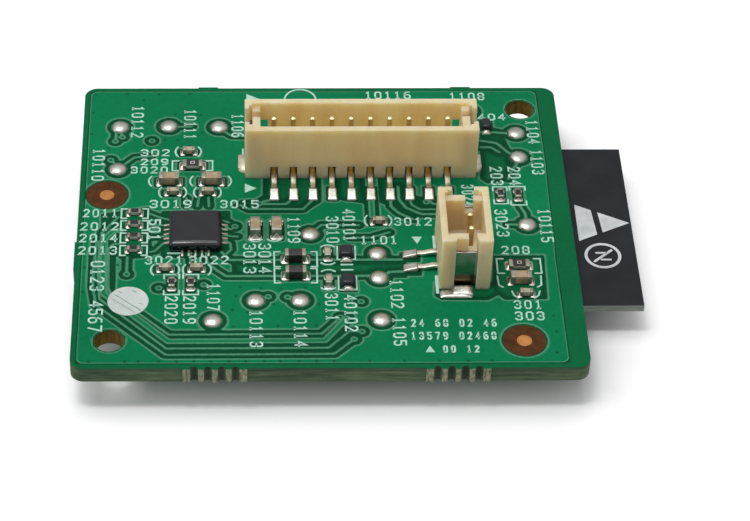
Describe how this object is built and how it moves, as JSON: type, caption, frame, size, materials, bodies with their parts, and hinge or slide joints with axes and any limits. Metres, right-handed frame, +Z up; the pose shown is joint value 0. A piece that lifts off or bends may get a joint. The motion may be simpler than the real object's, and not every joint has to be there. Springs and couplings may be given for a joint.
{
  "type": "wifi module board",
  "caption": "Green circuit board with top-entry wire sockets, a leadless chip and small parts on top, and a shielded radio module under it whose antenna end overhangs one edge.",
  "frame": {"origin": "middle of the footprint, on the surface that the shield can rests on", "axes": "+X along the long side towards the overhanging antenna end, +Y to the rear edge behind the long socket, +Z up out of the sockets"},
  "size_m": [0.0428, 0.032, 0.0092],
  "materials": {
    "mask_board": "gloss",
    "cream_plastic": "satin",
    "tinned_metal": "gloss",
    "black_resin": "satin",
    "resistor_body": "satin",
    "ferrite_body": "satin",
    "capacitor_body": "matte",
    "solder": "gloss",
    "black_board": "satin",
    "shield_metal": "satin",
    "copper": "satin"
  },
  "bodies": {
    "root": {"carrier_board": "mask_board", "long_housing": "cream_plastic", "short_housing": "cream_plastic", "long_contact_01": "tinned_metal", "long_contact_02": "tinned_metal", "long_contact_03": "tinned_metal", "long_contact_04": "tinned_metal", "long_contact_05": "tinned_metal", "long_contact_06": "tinned_metal", "long_contact_07": "tinned_metal", "long_contact_08": "tinned_metal", "long_contact_09": "tinned_metal", "long_contact_10": "tinned_metal", "short_contact_01": "tinned_metal", "short_contact_02": "tinned_metal", "long_tab_left": "tinned_metal", "long_tab_right": "tinned_metal", "short_tab_rear": "tinned_metal", "short_tab_front": "tinned_metal", "controller_chip": "black_resin", "resistor_01": "resistor_body", "resistor_02": "resistor_body", "resistor_03": "resistor_body", "resistor_04": "resistor_body", "resistor_05": "resistor_body", "resistor_06": "resistor_body", "resistor_07": "resistor_body", "resistor_08": "resistor_body", "resistor_09": "resistor_body", "resistor_10": "resistor_body", "bead_01": "ferrite_body", "bead_02": "ferrite_body", "capacitor_01": "capacitor_body", "capacitor_02": "capacitor_body", "capacitor_03": "capacitor_body", "capacitor_04": "capacitor_body", "capacitor_05": "capacitor_body", "capacitor_06": "capacitor_body", "capacitor_07": "capacitor_body", "capacitor_08": "capacitor_body", "capacitor_09": "capacitor_body", "capacitor_10": "capacitor_body", "capacitor_11": "capacitor_body", "capacitor_12": "capacitor_body", "capacitor_13": "capacitor_body", "capacitor_14": "capacitor_body", "capacitor_15": "capacitor_body", "capacitor_16": "capacitor_body", "diode_01": "black_resin", "diode_02": "black_resin", "diode_03": "black_resin", "test_domes": "solder", "module_board": "black_board", "module_joints": "solder", "shield_can": "shield_metal", "antenna_trace": "copper", "radio_chip": "black_resin", "memory_chip": "black_resin", "crystal": "shield_metal", "radio_passives": "capacitor_body"}
  },
  "joints": []
}
